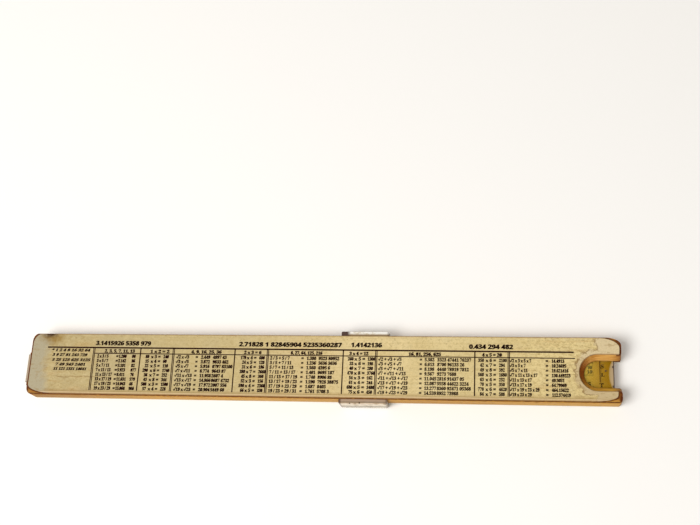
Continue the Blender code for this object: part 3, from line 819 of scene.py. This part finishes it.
upper_low, upper_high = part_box("upper_front_facing")
lower_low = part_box("lower_front_facing")[0]
on_stock_front = (upper_low.z, -1, (middle_x, 0), "stock")
scales = log_scale(two_cycle, 2, -upper_high.y / mm, 1, "A", 0.3, 1.0)
scales += log_scale(one_cycle, 1, -lower_low.y / mm, -1, "D", 0.3, 1.0)
scales += log_scale(three_cycle, 3, -12.0, -1, "K", 0.2, 0.75)
printed("stock_front_scales", scales, *on_stock_front, ink, "white_facing")


# The cursor's two rails are drawn bars of nickel silver. The polish has dulled to a warm grey with
# brown tarnish in blotches, drawing lines run along them, and a few dark pits show. The near rail's
# top is painted dark, a painted reflection, beside a painted highlight, and the far rail is painted
# bright, a painted highlight, with a painted reflection nearly black at its left end.

nickel, tree, shader, place = new_finish("tarnished_nickel_silver")
tarnish = add(tree, "TexNoise", {"Vector": place, "Scale": 420.0, "Detail": 5.0, "Roughness": 0.65})
drawn = drawn_out(tree, place, (90, 5000, 5000), 3.0)
colour = coat(tree, "E8DFCE", "A08762", tarnish, 0.42, 0.72, 0.75)
along, across, height = add(tree, "SeparateXYZ", {0: place}).node.outputs
way = add(tree, "SeparateXYZ", {0: add(tree, "TexCoord", output=1)}).node.outputs
# The rails' top faces are painted dark, a painted reflection of a dim room, and a band beside the stock
# is painted lighter, a painted highlight.
on_top = add(tree, "MapRange", {"Value": way[2], "From Min": 0.6, "From Max": 0.95})
colour = coat(tree, colour, "6C553A", on_top, share=0.85)
from_stock = aside(tree, across, 0.0)
from_stock = add(tree, "Math", {0: from_stock, 1: half_width}, operation="SUBTRACT")
colour = coat(tree, colour, "AC9078", from_stock, 1.3 * mm, 0.7 * mm, 0.6, on_top)
# The far rail is painted bright with darker edges, a painted highlight on a rounded bar.
far_side = add(tree, "MapRange", {"Value": across, "From Min": -1 * mm, "From Max": 1 * mm})
painted_highlight_tone = coat(tree, "FFFBF0", "D2C09C", tarnish, 0.5, 0.62, 0.7)
painted_highlight_tone = coat(tree, painted_highlight_tone, "947A50", from_stock, 1.6 * mm, 0.5 * mm)
painted_highlight_tone = coat(tree, painted_highlight_tone, "A8967A", from_stock, 2.1 * mm, 2.35 * mm)
colour = coat(tree, colour, painted_highlight_tone, far_side)

cursor_low, cursor_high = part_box("cursor_glass")
cursor_x = (cursor_low.x + cursor_high.x) / 2
upper_low, upper_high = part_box("upper_rail")
pits = 0.0
for pit_x, pit_y, pit_size in ((-6.4, -18.15, 0.45), (-1.55, -17.85, 0.5), (-3.7, -18.05, 0.25)):
    centre = (cursor_x + pit_x * mm, pit_y * mm, upper_high.z)
    pit = add(tree, "VectorMath", {0: place, 1: centre}, 1, operation="DISTANCE")
    limits = {"Value": pit, "From Min": pit_size * mm, "From Max": pit_size * mm / 2}
    pits = add(tree, "Math", {0: add(tree, "MapRange", limits), 1: pits}, operation="MAXIMUM")
colour = coat(tree, colour, "2A1C10", pits)

# A dark line is painted along each rail's side, a painted shade of its lower edge. The rails darken
# towards both ends and on their end faces, and the far rail's left end is painted darker still, a
# painted reflection.
limits = {"Value": along, "From Min": upper_low.x + 4.7 * mm, "From Max": upper_low.x + 3.0 * mm}
painted_end_reflection = add(tree, "Math", {0: add(tree, "MapRange", limits), 1: far_side}, operation="MULTIPLY")
end_face = add(tree, "Math", {0: way[0]}, operation="ABSOLUTE")
end_face = add(tree, "MapRange", {"Value": end_face, "From Min": 0.5, "From Max": 0.9, "To Max": 0.6})
dirt_and_painted_shade = add(tree, "Math", {0: painted_end_reflection, 1: end_face}, operation="MAXIMUM")
for end_x, inward, least, most, share in (
    (upper_low.x, 1, 1.5 * mm, 0.6 * mm, 0.8),
    (upper_high.x, -1, 1.3 * mm, 0.5 * mm, 0.5),
):
    from_end = add(tree, "Math", {0: along, 1: end_x}, operation="SUBTRACT")
    from_end = add(tree, "Math", {0: from_end, 1: inward}, operation="MULTIPLY")
    limits = {"Value": from_end, "From Min": least, "From Max": most, "To Max": share}
    dirt_and_painted_shade = add(tree, "Math", {0: dirt_and_painted_shade, 1: add(tree, "MapRange", limits)}, operation="MAXIMUM")
painted_shade_line = aside(tree, height, back_z - 6.7 * mm)
limits = {"Value": painted_shade_line, "From Min": 1.4 * mm, "From Max": 0.7 * mm, "To Max": 0.6}
dirt_and_painted_shade = add(tree, "Math", {0: dirt_and_painted_shade, 1: add(tree, "MapRange", limits)}, operation="MAXIMUM")
colour = coat(tree, colour, "3A1A04", dirt_and_painted_shade)
# The painted dark marks and the far rail's painted brightness are made less metallic.
metal = add(tree, "Math", {0: dirt_and_painted_shade, 1: -0.6, 2: 1.0}, operation="MULTIPLY_ADD")
metal = add(tree, "Math", {0: far_side, 1: -0.9, 2: metal}, operation="MULTIPLY_ADD", use_clamp=True)
rough = add(tree, "MapRange", {"Value": tarnish, "To Min": 0.28, "To Max": 0.5})
relief = add(tree, "Math", {0: drawn, 1: pits}, operation="SUBTRACT")
bump = add(tree, "Bump", {"Strength": 0.3, "Distance": 0.03 * mm, "Height": relief})
wire(tree, shader, {"Base Color": colour, "Metallic": metal, "Roughness": rough, "Normal": bump})
dress(nickel, "upper_rail", "lower_rail")


# The spring is a bowed strip of blued steel that has worn bright, and the four screws are bright
# steel, turned and slotted, with a little brown in their slots.

steel, tree, shader, place = new_finish("worn_spring_steel")
oxide = add(tree, "TexNoise", {"Vector": place, "Scale": 1200.0, "Detail": 4.0})
colour = coat(tree, "B9B9B6", "6E5F50", oxide, 0.45, 0.7, 0.7)
rough = add(tree, "MapRange", {"Value": oxide, "To Min": 0.2, "To Max": 0.45})
wire(tree, shader, {"Base Color": colour, "Metallic": 1.0, "Roughness": rough})
screws = [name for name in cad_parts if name.startswith("screw_")]
dress(steel, "cursor_spring", *screws)


# The cursor's glass is polished plate with ground bevels, screwed to the rails from the front. A
# hairline is etched across its inner face and filled with black, so that it lies on the scales.


def ray_is(tree, *kinds):
    """1 on a ray of any of these kinds, and 0 on any other."""
    rays = add(tree, "LightPath").node.outputs
    found = 0.0
    for kind in kinds:
        found = add(tree, "Math", {0: found, 1: rays[f"Is {kind} Ray"]}, operation="MAXIMUM")
    return found


glass, tree, shader, place = new_finish("polished_plate_glass")
smear = add(tree, "TexNoise", {"Vector": place, "Scale": 300.0, "Detail": 3.0})
rough = add(tree, "MapRange", {"Value": smear, "To Min": 0.0, "To Max": 0.05})
wire(tree, shader, {"Base Color": linear("FCFEFC"), "Roughness": rough})
wire(tree, shader, {"Transmission Weight": 1.0, "IOR": 1.52})
clear = add(tree, "BsdfTransparent", {"Color": linear("F9FCFA")})
lit_through = ray_is(tree, "Shadow", "Diffuse")
seen = add(tree, "MixShader", {0: lit_through, 1: shader.outputs[0], 2: clear})
wire(tree, tree.nodes["Material Output"], {"Surface": seen})
dress(glass, "cursor_glass")

between_rails = upper_high.y / mm
hairline = ruled([(-0.06, between_rails, 0.06, -between_rails)])
on_glass = ((cursor_x, 0), "cursor", ink, "plate_glass")
printed("glass_hairline", [hairline], cursor_high.z, 1, *on_glass)


# The rule lies on a plain white table, under one soft lamp from the left and in front, with white
# walls all round. The table is white to the eye and keeps the rule's soft shadow.

table, tree, shader, place = new_finish("white_table")
wire(tree, shader, {"Base Color": linear("F4F2EE"), "Roughness": 0.9, "Specular IOR Level": 0.2})
straight = ray_is(tree, "Camera", "Glossy", "Transmission")
glow_strength = add(tree, "Math", {0: straight, 1: 0.16}, operation="MULTIPLY")
glow = add(tree, "Emission", {"Color": linear("FFF2E0"), "Strength": glow_strength})
lit = add(tree, "AddShader", {0: shader.outputs[0], 1: glow})
wire(tree, tree.nodes["Material Output"], {"Surface": lit})
table_half = 1.5
mesh = bpy.data.meshes.new("table_top")
corners = [(x * table_half, y * table_half, 0) for x, y in ((-1, -1), (1, -1), (1, 1), (-1, 1))]
mesh.from_pydata(corners, [], [(0, 1, 2, 3)])
mesh.materials.append(table)
table_top = bpy.data.objects.new("table_top", mesh)
bpy.context.scene.collection.objects.link(table_top)

lamp = bpy.data.lights.new("soft_lamp", "AREA")
lamp.shape = "SQUARE"
lamp.size = 0.8
lamp.energy = 19.2
lamp_holder = bpy.data.objects.new("soft_lamp", lamp)
bpy.context.scene.collection.objects.link(lamp_holder)
lamp_distance = 1.5
lamp_turn = math.radians(-140)
lamp_rise = math.radians(58)
flat = lamp_distance * math.cos(lamp_rise)
lamp_height = lamp_distance * math.sin(lamp_rise)
lamp_holder.location = (math.cos(lamp_turn) * flat, math.sin(lamp_turn) * flat, lamp_height)
lamp_holder.rotation_euler = (math.pi / 2 - lamp_rise, 0, lamp_turn + math.pi / 2)

world = bpy.data.worlds.new("white_room")
world.use_nodes = True
tree = world.node_tree
wall_light = 0.32
straight = ray_is(tree, "Camera", "Glossy", "Transmission")
seen_white = {0: straight, 1: 1.0 - wall_light, 2: wall_light}
seen_white = add(tree, "Math", seen_white, operation="MULTIPLY_ADD")
wire(tree, tree.nodes["Background"], {"Color": linear("FFFFFF"), "Strength": seen_white})
bpy.context.scene.world = world


# The camera looks down from the near side, as the photograph was taken. Its lens, turn and seat are
# those of the pinhole camera that meets the rule's corners in the photograph.

camera = bpy.data.cameras.new("camera")
camera.sensor_width = 36.0
camera.lens = 56.571
camera.clip_start = 0.01
camera_holder = bpy.data.objects.new("camera", camera)
bpy.context.scene.collection.objects.link(camera_holder)
right = (0.98898722, 0.04590774, -0.14070094)
upward = (0.00280897, 0.94468251, 0.32797418)
backward = (0.14797428, -0.32475750, 0.93414998)
seat = (middle_x + 98.741 * mm, -127.874 * mm, back_z + 524.420 * mm)
camera_holder.matrix_world = Matrix([*zip(right, upward, backward, seat), (0, 0, 0, 1)])
bpy.context.scene.camera = camera_holder
bpy.context.scene.view_settings.view_transform = "Standard"
